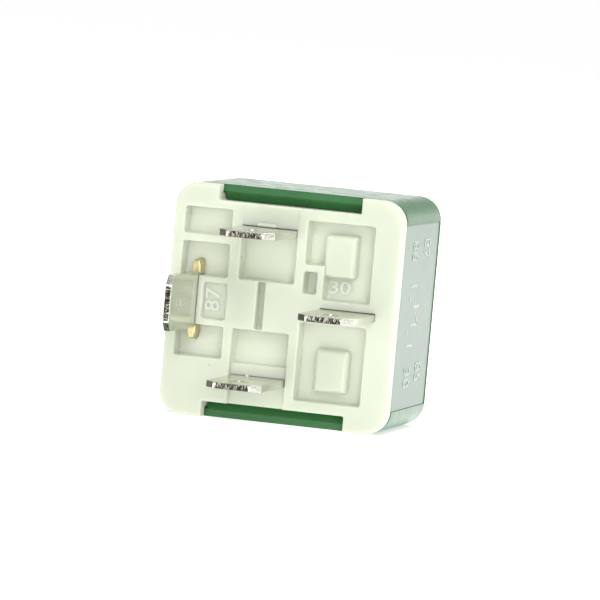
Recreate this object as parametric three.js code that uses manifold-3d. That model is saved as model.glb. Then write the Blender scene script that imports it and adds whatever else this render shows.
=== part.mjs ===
// Four-blade plug-in relay with one normally open contact, in millimetres.
// +X runs across the base from blade 87 to blade 30, +Y from the base into the cover, +Z up
// as the relay lies on a narrow side. The origin is the centre of the base's seating face.
import * as THREE from 'three';
import { mergeVertices } from 'three/addons/utils/BufferGeometryUtils.js';
import Module from 'manifold-3d';

const wasm = await Module();
wasm.setup();

// Case
const BODY_WIDTH = 26.4;
const BODY_HEIGHT = 26.2;
const BODY_DEPTH = 19.4;
const CORNER_RADIUS = 2.7;
const FLANGE = 1.7;
const GAP = 0.3;
const FINE_GAP = 0.15;
const COVER_WALL = 0.9;
const COVER_BACK = 1.1;
const LABEL_RECESS = 0.25;
const LABEL_HALF_HEIGHT = 10.4;
const LABEL_END = BODY_DEPTH - 0.95;
const PLUG_END = 4.0;
const NOTCH_HALF_WIDTH = 8.2;
const NOTCH_DEPTH = 1.8;
const POCKET_DEPTH = 2.25;
const CHANNEL_DEPTH = 0.9;
const UPPER_ISLAND_TOP = 0.4;
const LOWER_ISLAND_TOP = 0.9;

// Blades, to the usual 6.3 by 0.8 mm quick-connect size
const BLADE_LENGTH = 11.0;
const BLADE_WIDTH = 6.3;
const BLADE_THICKNESS = 0.8;
const BLADE_CHAMFER = 1.1;
const BLADE_ROOT = -0.1;
const INNER_THICKNESS = 0.7;
const COIL_BLADE_X = -2.05;
const COIL_BLADE_Z = 16.8 / 2;
const BLADE_30_X = 7.63;
const BLADE_87_X = BLADE_30_X - 17.8;
const SHOULDER_87 = 4.5;
const SHOULDER_87_START = 0.3;

// Magnet
const COIL_X = 1.0;
const YOKE_THICKNESS = 1.4;
const YOKE_HALF_WIDTH = 6.0;
const YOKE_BACK = 10.4;
const YOKE_NOSE = -5.0;
const YOKE_START = PLUG_END + GAP;
const YOKE_TOP = 14.4;
const CORE_RADIUS = 2.5;
const CORE_SPIGOT = 1.65;
const POLE_RADIUS = 3.8;
const POLE_FACE = 14.0;
const POLE_THICKNESS = 0.8;
const BOBBIN_RADIUS = 7.5;
const BOBBIN_FLANGE = 0.8;
const BOBBIN_BARREL = 3.6;
const BOBBIN_START = YOKE_START + YOKE_THICKNESS + GAP;
const BOBBIN_END = POLE_FACE - POLE_THICKNESS - FINE_GAP;
const WINDING_RADIUS = 6.5;
const TAPE_INNER = 6.6;
const TAPE_OUTER = 6.85;

// Armature, contacts and leaf spring
const ARMATURE_THICKNESS = 1.2;
const ARMATURE_START = YOKE_TOP + GAP;
const ARMATURE_TIP = -5.6;
const ARMATURE_TAIL = 9.9;
const SPRING_THICKNESS = 0.25;
const SPRING_START = ARMATURE_START + ARMATURE_THICKNESS + GAP;
const SPRING_HALF_WIDTH = 3.6;
const SPRING_TIP_HALF_WIDTH = 1.9;
const SPRING_TIP = -10.3;
const SPRING_BEND = 1.2;
const CONTACT_X = -8.3;
const CONTACT_RADIUS = 1.6;
const CONTACT_GAP = 0.8;
const MOVING_CONTACT_FACE = 15.45;
const SEAT_START = 13.0;
const RIVET_RADIUS = 0.8;
const RIVET_HEAD_RADIUS = 1.3;
const RIVET_HEAD = 0.35;
const YOKE_RIVET_Y = 8.8;
const YOKE_RIVET_Z = 2.2;
const ARMATURE_RIVET_X = 5.6;
const ARMATURE_RIVET_Z = 2.2;
const STOP_THICKNESS = 0.5;

const ROUND_STEPS = 32;
const SMALL_ROUND_STEPS = 20;
const ARC_STEPS = 6;
const OVERSHOOT = 1;

const part = new THREE.Group();

function paint(color, roughness, metalness) {
  return new THREE.MeshStandardMaterial({ color, roughness, metalness });
}

const OFF_WHITE = paint(0xe8f0dc, 0.45, 0);
const GREEN = paint(0x3f6b45, 0.3, 0);
const TIN = paint(0xc9c9c4, 0.3, 1);
const STEEL = paint(0xa9abb0, 0.4, 1);
const BRASS = paint(0xc8a24a, 0.35, 1);
const SILVER = paint(0xdadad6, 0.25, 1);
const COPPER = paint(0xb5622e, 0.35, 1);
const NATURAL = paint(0xd9d2bd, 0.5, 0);
const TAPE = paint(0xb98a2c, 0.4, 0);

function addNode(name, shape, material) {
  const mesh = new THREE.Mesh(shape, material);
  mesh.name = name;
  part.add(mesh);
}

// Solid helpers

function toSolid(geometry) {
  const bare = geometry.clone();
  bare.deleteAttribute('normal');
  bare.deleteAttribute('uv');
  const merged = mergeVertices(bare, 1e-5);
  const mesh = new wasm.Mesh({
    numProp: 3,
    vertProperties: new Float32Array(merged.attributes.position.array),
    triVerts: new Uint32Array(merged.index.array),
  });
  return new wasm.Manifold(mesh);
}

function toGeometry(solid) {
  const mesh = solid.getMesh();
  const geometry = new THREE.BufferGeometry();
  geometry.setAttribute('position', new THREE.BufferAttribute(mesh.vertProperties, 3));
  geometry.setIndex(new THREE.BufferAttribute(mesh.triVerts, 1));
  geometry.computeVertexNormals();
  return geometry;
}

function join(...geometries) {
  return toGeometry(geometries.map(toSolid).reduce((a, b) => a.add(b)));
}

function cut(body, ...tools) {
  return toGeometry(tools.map(toSolid).reduce((a, b) => a.subtract(b), toSolid(body)));
}

function block(x0, x1, y0, y1, z0, z1) {
  const box = new THREE.BoxGeometry(x1 - x0, y1 - y0, z1 - z0);
  box.translate((x0 + x1) / 2, (y0 + y1) / 2, (z0 + z1) / 2);
  return box;
}

// A shape drawn in X and Z, given thickness along Y.
function slabAlongY(shape, y0, y1) {
  const slab = new THREE.ExtrudeGeometry(shape, {
    depth: y1 - y0,
    bevelEnabled: false,
    curveSegments: ARC_STEPS,
  });
  slab.rotateX(Math.PI / 2);
  slab.translate(0, y1, 0);
  return slab;
}

// A shape drawn in X and Y, given thickness along Z.
function slabAlongZ(shape, z0, z1) {
  const slab = new THREE.ExtrudeGeometry(shape, {
    depth: z1 - z0,
    bevelEnabled: false,
    curveSegments: ARC_STEPS,
  });
  slab.translate(0, 0, z0);
  return slab;
}

// A shape drawn in Z and Y, given thickness along X.
function slabAlongX(shape, x0, x1) {
  const slab = slabAlongZ(shape, x0, x1);
  slab.rotateY(Math.PI / 2);
  return mirrorZ(slab);
}

// The mirror image in the XY plane of an unindexed mesh, with its faces turned back outwards.
function mirrorZ(geometry) {
  const mirrored = geometry.clone().scale(1, 1, -1);
  const position = mirrored.attributes.position;
  const a = new THREE.Vector3();
  const b = new THREE.Vector3();
  for (let i = 0; i < position.count; i += 3) {
    a.fromBufferAttribute(position, i);
    b.fromBufferAttribute(position, i + 1);
    position.setXYZ(i, b.x, b.y, b.z);
    position.setXYZ(i + 1, a.x, a.y, a.z);
  }
  mirrored.computeVertexNormals();
  return mirrored;
}

function roundedRectangle(width, height, radius) {
  const x = width / 2;
  const y = height / 2;
  const shape = new THREE.Shape();
  shape.moveTo(x, y - radius);
  shape.absarc(x - radius, y - radius, radius, 0, Math.PI / 2);
  shape.absarc(radius - x, y - radius, radius, Math.PI / 2, Math.PI);
  shape.absarc(radius - x, radius - y, radius, Math.PI, 1.5 * Math.PI);
  shape.absarc(x - radius, radius - y, radius, 1.5 * Math.PI, 2 * Math.PI);
  shape.closePath();
  return shape;
}

function polygon(points) {
  return new THREE.Shape(points.map(([x, y]) => new THREE.Vector2(x, y)));
}

// A turned piece about a line along Y; profile points are [radius, y].
function turned(profile, x, z, steps = ROUND_STEPS) {
  const points = profile.map(([radius, y]) => new THREE.Vector2(radius, y));
  const lathe = new THREE.LatheGeometry(points, steps);
  lathe.translate(x, 0, z);
  return lathe;
}

function rod(radius, x, y0, y1, z, steps = SMALL_ROUND_STEPS) {
  return turned([[0, y0], [radius, y0], [radius, y1], [0, y1]], x, z, steps);
}

function rodAlongX(radius, x0, x1, y, z) {
  const cylinder = new THREE.CylinderGeometry(radius, radius, x1 - x0, SMALL_ROUND_STEPS);
  cylinder.rotateZ(Math.PI / 2);
  cylinder.translate((x0 + x1) / 2, y, z);
  return cylinder;
}

// Base moulding

function pocket(x0, x1, z0, z1, depth = POCKET_DEPTH) {
  return block(x0, x1, -OVERSHOOT, depth, z0, z1);
}

function facePockets() {
  return [
    pocket(-11.9, -6.5, 7.4, 10.35),
    pocket(-11.9, -6.5, 2.75, 6.45),
    pocket(-11.9, -6.45, -6.35, -2.8),
    pocket(-9.1, -6.45, -2.0, 2.0, 0.6),
    pocket(-5.2, 1.15, 2.8, 7.9),
    pocket(-5.35, 1.05, -6.7, -2.85),
    pocket(-5.35, 1.15, -12.0, -6.2, CHANNEL_DEPTH),
    pocket(-2.9, -2.05, -2.65, 2.65, 1.5),
    pocket(2.3, 3.8, 1.95, 4.35, 3.3),
  ];
}

function island(x0, x1, top, z0, z1) {
  return block(x0, x1, top, POCKET_DEPTH + OVERSHOOT, z0, z1);
}

// The two large pockets either side of blade 30, each with its island left standing.
function blade30Pockets() {
  const upper = cut(
    pocket(2.3, 9.95, 1.4, 10.05),
    island(4.3, 7.95, UPPER_ISLAND_TOP, 3.95, 8.7),
    pocket(1.3, 4.6, 0.4, 5.2, POCKET_DEPTH + OVERSHOOT),
  );
  const lower = cut(
    pocket(2.3, 9.9, -10.05, -1.3),
    island(4.25, 8.0, LOWER_ISLAND_TOP, -8.95, -4.15),
  );
  return [upper, lower];
}

function bladeSlots() {
  const half = BLADE_WIDTH / 2 + FINE_GAP;
  const side = BLADE_THICKNESS / 2 + FINE_GAP;
  const start = -OVERSHOOT;
  const end = PLUG_END + OVERSHOOT;
  const slots = [block(BLADE_30_X - half, BLADE_30_X + half, start, end, -side, side)];
  for (const z of [COIL_BLADE_Z, -COIL_BLADE_Z]) {
    slots.push(block(COIL_BLADE_X - half, COIL_BLADE_X + half, start, end, z - side, z + side));
  }
  slots.push(block(BLADE_87_X - side, BLADE_87_X + side, start, end, -half, half));
  const shoulder = SHOULDER_87 + FINE_GAP;
  slots.push(block(BLADE_87_X - side, BLADE_87_X + side, POCKET_DEPTH - FINE_GAP, end, -shoulder, shoulder));
  return slots;
}

function edgeNotches() {
  const notches = [];
  for (const side of [1, -1]) {
    const inner = side * (BODY_HEIGHT / 2 - NOTCH_DEPTH);
    const outer = side * BODY_HEIGHT;
    const [low, high] = [inner, outer].sort((a, b) => a - b);
    notches.push(block(-NOTCH_HALF_WIDTH, NOTCH_HALF_WIDTH, -OVERSHOOT, PLUG_END + OVERSHOOT, low, high));
  }
  return notches;
}

function stopSlot() {
  return block(-11.3, -10.6, PLUG_END - 1, PLUG_END + OVERSHOOT, 4.8, 7.0);
}

function base() {
  const inner = coverInside();
  const flange = slabAlongY(roundedRectangle(BODY_WIDTH, BODY_HEIGHT, CORNER_RADIUS), 0, FLANGE);
  const plug = slabAlongY(
    roundedRectangle(inner.width - 2 * FINE_GAP, inner.height - 2 * FINE_GAP, inner.radius - FINE_GAP),
    FLANGE / 2,
    PLUG_END,
  );
  return cut(
    join(flange, plug),
    ...facePockets(),
    ...blade30Pockets(),
    ...bladeSlots(),
    ...edgeNotches(),
    stopSlot(),
  );
}

// Cover

function coverInside() {
  return {
    width: BODY_WIDTH - 2 * COVER_WALL,
    height: BODY_HEIGHT - 2 * COVER_WALL,
    radius: CORNER_RADIUS - COVER_WALL,
  };
}

// The cover fills the flange's two notches with a thin inward rib that grips the base.
function latchRib(side) {
  const root = side * (BODY_HEIGHT / 2 - COVER_WALL / 2);
  const tip = side * (BODY_HEIGHT / 2 - NOTCH_DEPTH + FINE_GAP);
  const [low, high] = [root, tip].sort((a, b) => a - b);
  return block(-7.5, 7.8, 2.5, 4.2, low, high);
}

function cover() {
  const inner = coverInside();
  const start = FLANGE + GAP;
  const shell = cut(
    slabAlongY(roundedRectangle(BODY_WIDTH, BODY_HEIGHT, CORNER_RADIUS), start, BODY_DEPTH),
    slabAlongY(
      roundedRectangle(inner.width, inner.height, inner.radius),
      start - OVERSHOOT,
      BODY_DEPTH - COVER_BACK,
    ),
    block(
      BODY_WIDTH / 2 - LABEL_RECESS,
      BODY_WIDTH,
      start - OVERSHOOT,
      LABEL_END,
      -LABEL_HALF_HEIGHT,
      LABEL_HALF_HEIGHT,
    ),
  );
  return join(shell, latchRib(1), latchRib(-1));
}

// Terminals

// The part of a blade that shows, with a chamfered tip. Points are [across, y], with across
// measured from the blade's middle.
function bladeOutline() {
  const half = BLADE_WIDTH / 2;
  const tip = -BLADE_LENGTH;
  return [
    [-half, tip + BLADE_CHAMFER],
    [-half + BLADE_CHAMFER, tip],
    [half - BLADE_CHAMFER, tip],
    [half, tip + BLADE_CHAMFER],
    [half, BLADE_ROOT],
    [-half, BLADE_ROOT],
  ];
}

// What stands on a blade from its root into the case, given by the right-hand edge and, where
// the two sides differ, the left-hand one.
function innerOutline(right, left = right.map(([across, y]) => [-across, y])) {
  const half = BLADE_WIDTH / 2;
  const bottom = BLADE_ROOT - 0.5;
  return [[-half, bottom], [half, bottom], ...right, ...left.reverse()];
}

function shifted(points, across) {
  return polygon(points.map(([a, y]) => [a + across, y]));
}

// A blade that lies across X, with its thinner inner part.
function flatTerminal(inside, x, z) {
  const outer = BLADE_THICKNESS / 2;
  const inner = INNER_THICKNESS / 2;
  return join(
    slabAlongZ(shifted(bladeOutline(), x), z - outer, z + outer),
    slabAlongZ(shifted(inside, x), z - inner, z + inner),
  );
}

// A coil blade narrows above the base to a post for the winding's end.
function coilTerminal(side) {
  const half = BLADE_WIDTH / 2;
  const inside = innerOutline([
    [half, PLUG_END],
    [1.25, PLUG_END],
    [1.25, 6.0],
    [0.5, 6.6],
    [0.5, 9.2],
  ]);
  return flatTerminal(inside, COIL_BLADE_X, side * COIL_BLADE_Z);
}

// Blade 30 ends in a tenon that is staked through the yoke.
function terminal30() {
  const half = BLADE_WIDTH / 2;
  const tenon = tenon30();
  const end = YOKE_START + YOKE_THICKNESS;
  const right = [[half, PLUG_END], [tenon.x1 - BLADE_30_X, PLUG_END], [tenon.x1 - BLADE_30_X, end]];
  const left = [[-half, PLUG_END], [tenon.x0 - BLADE_30_X, PLUG_END], [tenon.x0 - BLADE_30_X, end]];
  return flatTerminal(innerOutline(right, left), BLADE_30_X, 0);
}

function tenon30() {
  return { x0: 5.6, x1: 8.0 };
}

// Blade 87 widens into shoulders that show in the pockets beside it, rises as an arm and turns over as the contact's seat.
function terminal87() {
  const half = BLADE_WIDTH / 2;
  const armHalf = 2.5;
  const seatEnd = SEAT_START + BLADE_THICKNESS;
  const inside = innerOutline([
    [half, SHOULDER_87_START],
    [SHOULDER_87, SHOULDER_87_START],
    [SHOULDER_87, PLUG_END],
    [armHalf, PLUG_END + OVERSHOOT],
    [armHalf, seatEnd],
  ]);
  const outer = BLADE_THICKNESS / 2;
  const inner = INNER_THICKNESS / 2;
  const left = BLADE_87_X - inner;
  const seat = block(left, CONTACT_X + CONTACT_RADIUS, SEAT_START, seatEnd, -armHalf, armHalf);
  const hole = rod(RIVET_RADIUS + FINE_GAP, CONTACT_X, SEAT_START - OVERSHOOT, seatEnd + OVERSHOOT, 0);
  const terminal = join(
    slabAlongX(polygon(bladeOutline()), BLADE_87_X - outer, BLADE_87_X + outer),
    slabAlongX(polygon(inside), left, BLADE_87_X + inner),
    seat,
  );
  return cut(terminal, hole);
}

// Contacts

function fixedContact() {
  const seatEnd = SEAT_START + BLADE_THICKNESS;
  const top = MOVING_CONTACT_FACE - CONTACT_GAP;
  const dome = 0.2;
  return turned(
    [
      [0, SEAT_START + FINE_GAP],
      [RIVET_RADIUS, SEAT_START + FINE_GAP],
      [RIVET_RADIUS, seatEnd + FINE_GAP],
      [CONTACT_RADIUS, seatEnd + FINE_GAP],
      [CONTACT_RADIUS, top - dome],
      [CONTACT_RADIUS * 0.75, top - dome * 0.56],
      [CONTACT_RADIUS * 0.4, top - dome * 0.16],
      [0, top],
    ],
    CONTACT_X,
    0,
    SMALL_ROUND_STEPS,
  );
}

function movingContact() {
  const springEnd = SPRING_START + SPRING_THICKNESS;
  return turned(
    [
      [0, MOVING_CONTACT_FACE],
      [CONTACT_RADIUS - FINE_GAP, MOVING_CONTACT_FACE],
      [CONTACT_RADIUS, MOVING_CONTACT_FACE + FINE_GAP],
      [CONTACT_RADIUS, SPRING_START - FINE_GAP],
      [RIVET_RADIUS - 0.2, SPRING_START - FINE_GAP],
      [RIVET_RADIUS - 0.2, springEnd + 0.1],
      [RIVET_RADIUS, springEnd + 0.1],
      [RIVET_RADIUS - 0.1, springEnd + 0.35],
      [0, springEnd + 0.35],
    ],
    CONTACT_X,
    0,
    SMALL_ROUND_STEPS,
  );
}

// Magnet

function yoke() {
  const nose = block(YOKE_NOSE, YOKE_BACK, YOKE_START, YOKE_START + YOKE_THICKNESS,
    -YOKE_HALF_WIDTH, YOKE_HALF_WIDTH);
  const limb = block(YOKE_BACK - YOKE_THICKNESS, YOKE_BACK, YOKE_START, YOKE_TOP,
    -YOKE_HALF_WIDTH, YOKE_HALF_WIDTH);
  const tenon = tenon30();
  const through = [YOKE_START - OVERSHOOT, YOKE_START + YOKE_THICKNESS + OVERSHOOT];
  const half = BLADE_THICKNESS / 2 + FINE_GAP;
  const holes = [
    rod(CORE_SPIGOT + FINE_GAP, COIL_X, ...through, 0),
    block(tenon.x0 - FINE_GAP, tenon.x1 + FINE_GAP, ...through, -half, half),
    ...[1, -1].map((side) => rodAlongX(RIVET_RADIUS + FINE_GAP, YOKE_BACK - YOKE_THICKNESS - OVERSHOOT,
      YOKE_BACK + OVERSHOOT, YOKE_RIVET_Y, side * YOKE_RIVET_Z)),
  ];
  return cut(join(nose, limb), ...holes);
}

function core() {
  const shoulder = YOKE_START + YOKE_THICKNESS + FINE_GAP;
  return turned(
    [
      [0, YOKE_START],
      [CORE_SPIGOT, YOKE_START],
      [CORE_SPIGOT, shoulder],
      [CORE_RADIUS, shoulder],
      [CORE_RADIUS, POLE_FACE - POLE_THICKNESS],
      [POLE_RADIUS, POLE_FACE - POLE_THICKNESS],
      [POLE_RADIUS, POLE_FACE],
      [0, POLE_FACE],
    ],
    COIL_X,
    0,
  );
}

function bobbin() {
  const bore = CORE_RADIUS + GAP;
  const lower = BOBBIN_START + BOBBIN_FLANGE;
  const upper = BOBBIN_END - BOBBIN_FLANGE;
  return turned(
    [
      [bore, BOBBIN_START],
      [BOBBIN_RADIUS, BOBBIN_START],
      [BOBBIN_RADIUS, lower],
      [BOBBIN_BARREL, lower],
      [BOBBIN_BARREL, upper],
      [BOBBIN_RADIUS, upper],
      [BOBBIN_RADIUS, BOBBIN_END],
      [bore, BOBBIN_END],
      [bore, BOBBIN_START],
    ],
    COIL_X,
    0,
  );
}

// A ring round the bobbin's barrel, filling the space between its flanges.
function coilRing(inner, outer) {
  const low = BOBBIN_START + BOBBIN_FLANGE + FINE_GAP;
  const high = BOBBIN_END - BOBBIN_FLANGE - FINE_GAP;
  return turned([[inner, low], [outer, low], [outer, high], [inner, high], [inner, low]], COIL_X, 0);
}

// A coil end leaves the winding by the lower flange and is wrapped on its terminal's post.
function coilLead(side) {
  const wireRadius = 0.15;
  const wrapRadius = 0.92;
  const turns = 2.5;
  const pitch = 0.5;
  const stepsPerTurn = 12;
  const start = BOBBIN_START + BOBBIN_FLANGE + 0.6;
  const points = [
    new THREE.Vector3(COIL_X + 0.4, start - 0.2, 7.1),
    new THREE.Vector3(COIL_X - 0.9, start - 0.15, 7.15),
    new THREE.Vector3(COIL_X - 2.0, start - 0.05, 7.35),
  ];
  for (let i = 0; i <= turns * stepsPerTurn; i += 1) {
    const angle = (2 * Math.PI * i) / stepsPerTurn - Math.PI / 2;
    points.push(new THREE.Vector3(
      COIL_BLADE_X - wrapRadius * Math.cos(angle),
      start + (pitch * i) / stepsPerTurn,
      COIL_BLADE_Z + wrapRadius * Math.sin(angle),
    ));
  }
  const section = new THREE.Shape();
  section.absarc(0, 0, wireRadius, 0, 2 * Math.PI);
  const wire = new THREE.ExtrudeGeometry(section, {
    extrudePath: new THREE.CatmullRomCurve3(points),
    steps: 60,
    curveSegments: 4,
    bevelEnabled: false,
  });
  return side > 0 ? wire : mirrorZ(wire);
}

// Armature and spring

function armature() {
  const wide = YOKE_HALF_WIDTH;
  const tip = 4.0;
  const plate = slabAlongY(
    polygon([
      [ARMATURE_TAIL, -wide],
      [ARMATURE_TAIL, wide],
      [-3.0, wide],
      [ARMATURE_TIP, tip],
      [ARMATURE_TIP, -tip],
      [-3.0, -wide],
    ]),
    ARMATURE_START,
    ARMATURE_START + ARMATURE_THICKNESS,
  );
  const holes = [1, -1].map((side) => rod(
    RIVET_RADIUS + FINE_GAP,
    ARMATURE_RIVET_X,
    ARMATURE_START - OVERSHOOT,
    ARMATURE_START + ARMATURE_THICKNESS + OVERSHOOT,
    side * ARMATURE_RIVET_Z,
  ));
  return cut(plate, ...holes);
}

// One strip, riveted to the yoke's back, bent over the hinge and riveted to the armature.
function contactSpring() {
  const inner = YOKE_BACK + GAP;
  const outer = inner + SPRING_THICKNESS;
  const top = SPRING_START + SPRING_THICKNESS;
  const bend = { x: inner - SPRING_BEND, y: SPRING_START - SPRING_BEND };
  const foot = 6.6;
  const profile = new THREE.Shape();
  profile.moveTo(inner, foot);
  profile.lineTo(outer, foot);
  profile.lineTo(outer, bend.y);
  profile.absarc(bend.x, bend.y, SPRING_BEND + SPRING_THICKNESS, 0, Math.PI / 2, false);
  profile.lineTo(SPRING_TIP, top);
  profile.lineTo(SPRING_TIP, SPRING_START);
  profile.lineTo(bend.x, SPRING_START);
  profile.absarc(bend.x, bend.y, SPRING_BEND, Math.PI / 2, 0, true);
  const strip = slabAlongZ(profile, -SPRING_HALF_WIDTH, SPRING_HALF_WIDTH);
  const cuts = [
    rod(RIVET_RADIUS, CONTACT_X, SPRING_START - OVERSHOOT, top + OVERSHOOT, 0),
  ];
  for (const side of [1, -1]) {
    const [low, high] = [side * SPRING_TIP_HALF_WIDTH, side * 2 * SPRING_HALF_WIDTH]
      .sort((a, b) => a - b);
    cuts.push(block(SPRING_TIP - OVERSHOOT, ARMATURE_TIP + OVERSHOOT, SPRING_START - OVERSHOOT,
      top + OVERSHOOT, low, high));
    cuts.push(rod(RIVET_RADIUS + FINE_GAP, ARMATURE_RIVET_X, SPRING_START - OVERSHOOT,
      top + OVERSHOOT, side * ARMATURE_RIVET_Z));
    cuts.push(rodAlongX(RIVET_RADIUS + FINE_GAP, inner - OVERSHOOT, outer + OVERSHOOT,
      YOKE_RIVET_Y, side * YOKE_RIVET_Z));
  }
  return cut(strip, ...cuts);
}

function armatureRivet(side) {
  const head = SPRING_START + SPRING_THICKNESS + 0.1;
  const z = side * ARMATURE_RIVET_Z;
  return turned(
    [
      [0, ARMATURE_START],
      [RIVET_RADIUS, ARMATURE_START],
      [RIVET_RADIUS, head],
      [RIVET_HEAD_RADIUS, head],
      [RIVET_HEAD_RADIUS * 0.7, head + RIVET_HEAD],
      [0, head + RIVET_HEAD],
    ],
    ARMATURE_RIVET_X,
    z,
    SMALL_ROUND_STEPS,
  );
}

function yokeRivet(side) {
  const head = YOKE_BACK + GAP + SPRING_THICKNESS + 0.1;
  const rivet = turned(
    [
      [0, YOKE_BACK - YOKE_THICKNESS],
      [RIVET_RADIUS, YOKE_BACK - YOKE_THICKNESS],
      [RIVET_RADIUS, head],
      [RIVET_HEAD_RADIUS, head],
      [RIVET_HEAD_RADIUS * 0.7, head + RIVET_HEAD],
      [0, head + RIVET_HEAD],
    ],
    0,
    0,
    SMALL_ROUND_STEPS,
  );
  rivet.rotateZ(-Math.PI / 2);
  rivet.translate(0, YOKE_RIVET_Y, side * YOKE_RIVET_Z);
  return rivet;
}

// The open stop: a bracket that stands in the base and reaches over the spring's tip.
function stopBracket() {
  const x = -11.2;
  const arm = SPRING_START + SPRING_THICKNESS + FINE_GAP;
  return join(
    block(x, x + STOP_THICKNESS, PLUG_END - 0.85, arm + STOP_THICKNESS, 4.95, 6.85),
    block(x, -9.5, arm, arm + STOP_THICKNESS, -1.5, 6.85),
  );
}

addNode('base', base(), OFF_WHITE);
addNode('cover', cover(), GREEN);
addNode('terminal_30', terminal30(), TIN);
addNode('terminal_85', coilTerminal(-1), TIN);
addNode('terminal_86', coilTerminal(1), TIN);
addNode('terminal_87', terminal87(), TIN);
addNode('fixed_contact', fixedContact(), SILVER);
addNode('moving_contact', movingContact(), SILVER);
addNode('yoke', yoke(), STEEL);
addNode('core', core(), STEEL);
addNode('bobbin', bobbin(), NATURAL);
addNode('coil_winding', coilRing(BOBBIN_BARREL + FINE_GAP, WINDING_RADIUS), COPPER);
addNode('coil_tape', coilRing(TAPE_INNER, TAPE_OUTER), TAPE);
addNode('coil_lead_85', coilLead(-1), COPPER);
addNode('coil_lead_86', coilLead(1), COPPER);
addNode('armature', armature(), STEEL);
addNode('contact_spring', contactSpring(), BRASS);
addNode('stop_bracket', stopBracket(), BRASS);
for (const [label, side] of [['upper', 1], ['lower', -1]]) {
  addNode(`armature_rivet_${label}`, armatureRivet(side), BRASS);
  addNode(`yoke_rivet_${label}`, yokeRivet(side), BRASS);
}

export default part;
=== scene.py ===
import math

import bmesh
import bpy
from mathutils import Matrix, Vector, noise


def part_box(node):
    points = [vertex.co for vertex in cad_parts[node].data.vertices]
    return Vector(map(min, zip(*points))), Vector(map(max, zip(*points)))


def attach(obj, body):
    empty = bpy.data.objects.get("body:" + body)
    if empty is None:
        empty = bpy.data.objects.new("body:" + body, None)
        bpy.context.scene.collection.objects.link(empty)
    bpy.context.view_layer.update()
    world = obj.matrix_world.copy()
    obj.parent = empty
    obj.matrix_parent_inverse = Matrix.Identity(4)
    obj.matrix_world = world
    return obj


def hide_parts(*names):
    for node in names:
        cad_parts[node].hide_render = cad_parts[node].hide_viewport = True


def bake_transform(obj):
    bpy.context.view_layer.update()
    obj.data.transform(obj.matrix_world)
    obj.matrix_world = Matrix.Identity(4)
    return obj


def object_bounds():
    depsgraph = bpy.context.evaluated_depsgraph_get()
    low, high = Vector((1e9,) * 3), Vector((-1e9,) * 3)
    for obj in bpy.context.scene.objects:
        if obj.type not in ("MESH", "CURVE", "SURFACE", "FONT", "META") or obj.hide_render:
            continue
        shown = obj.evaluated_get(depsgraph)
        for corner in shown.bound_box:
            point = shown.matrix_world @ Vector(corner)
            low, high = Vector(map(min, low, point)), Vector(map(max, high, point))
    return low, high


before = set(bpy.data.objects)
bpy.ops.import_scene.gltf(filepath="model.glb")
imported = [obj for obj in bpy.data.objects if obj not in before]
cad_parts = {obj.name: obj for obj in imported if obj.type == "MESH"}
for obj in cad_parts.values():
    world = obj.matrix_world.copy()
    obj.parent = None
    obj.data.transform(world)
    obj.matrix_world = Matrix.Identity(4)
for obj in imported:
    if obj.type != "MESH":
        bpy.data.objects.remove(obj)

CAD_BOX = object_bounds()
MM = 0.001


def box_mm(node):
    """A CAD node's lowest and highest corners, in millimetres."""
    low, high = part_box(node)
    return low / MM, high / MM


# Places read from the frame

BASE_HIGH = box_mm("base")[1]
COVER_LOW, COVER_HIGH = box_mm("cover")
YOKE_LOW, YOKE_HIGH = box_mm("yoke")
CORE_LOW, CORE_HIGH = box_mm("core")
BOBBIN_LOW, BOBBIN_HIGH = box_mm("bobbin")
TAPE_LOW, TAPE_HIGH = box_mm("coil_tape")
ARMATURE_LOW, ARMATURE_HIGH = box_mm("armature")
SPRING_LOW, SPRING_HIGH = box_mm("contact_spring")
STOP_LOW, STOP_HIGH = box_mm("stop_bracket")
FIXED_LOW, FIXED_HIGH = box_mm("fixed_contact")
MOVING_LOW, MOVING_HIGH = box_mm("moving_contact")
HALF_WIDTH = BASE_HIGH.x
HALF_HEIGHT = BASE_HIGH.z
BACK = COVER_HIGH.y
COVER_START = COVER_LOW.y
COIL_X = (BOBBIN_LOW.x + BOBBIN_HIGH.x) / 2

# Sizes of the mouldings

CORNER = 2.7
FLANGE_HEIGHT = 1.7
FLANGE_INSET = 0.02
NOTCH_HALF_WIDTH = 8.2
NOTCH_DEPTH = 1.8
POCKET_DEPTH = 2.25
CHANNEL_DEPTH = 0.9
HOLE_DEPTH = 2.15
RECESS_87_DEPTH = 0.75
UPPER_ISLAND_TOP = 0.4
LOWER_ISLAND_TOP = 0.9
SLOT_GAP = 0.03
SLOT_GAP_ABOVE = {"terminal_30": 0.07, "terminal_85": 0.03, "terminal_86": 0.07}
PLUG_GAP = 0.15
COVER_WALL = 0.9
LATCH_LEFT = -8.05
LATCH_RIGHT = 7.8
LABEL_HALF_HEIGHT = 10.4
LABEL_END = BACK - 0.95
LABEL_FACE = HALF_WIDTH - 0.09
RIM = 0.22
OVERSHOOT = 0.6
SMOOTH_ANGLE = math.radians(32)

# Sizes of the blades and the mechanism

BLADE_HALF_WIDTH = 3.15
BLADE_HALF_THICKNESS = 0.4
BLADE_CHAMFER = 1.0
BLADE_87_X = box_mm("terminal_87")[0].x + BLADE_HALF_THICKNESS
DIMPLE_FROM_TIP = 3.4
TAPER_LENGTH = 1.3
TAPER_SHARE = 0.9
# Places across the thickness, from the blade's middle; they stay inside its round edges.
TORN_BAND = (-0.29, -0.19, -0.09, 0.02)
INNER_THICKNESS = 0.7
INNER_START = 0.9
PLUG_END = 4.0
SHOULDER_START = 0.3
TENON_START = 5.6
TENON_END = 8.0
STAKE_RADIUS = 1.65
HOLE_GAP = 0.1
RIVET_HOLE_RADIUS = 0.87
CONTACT_RADIUS = 1.6
LEAF_THICKNESS = 0.25


# Mesh tools

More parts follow.
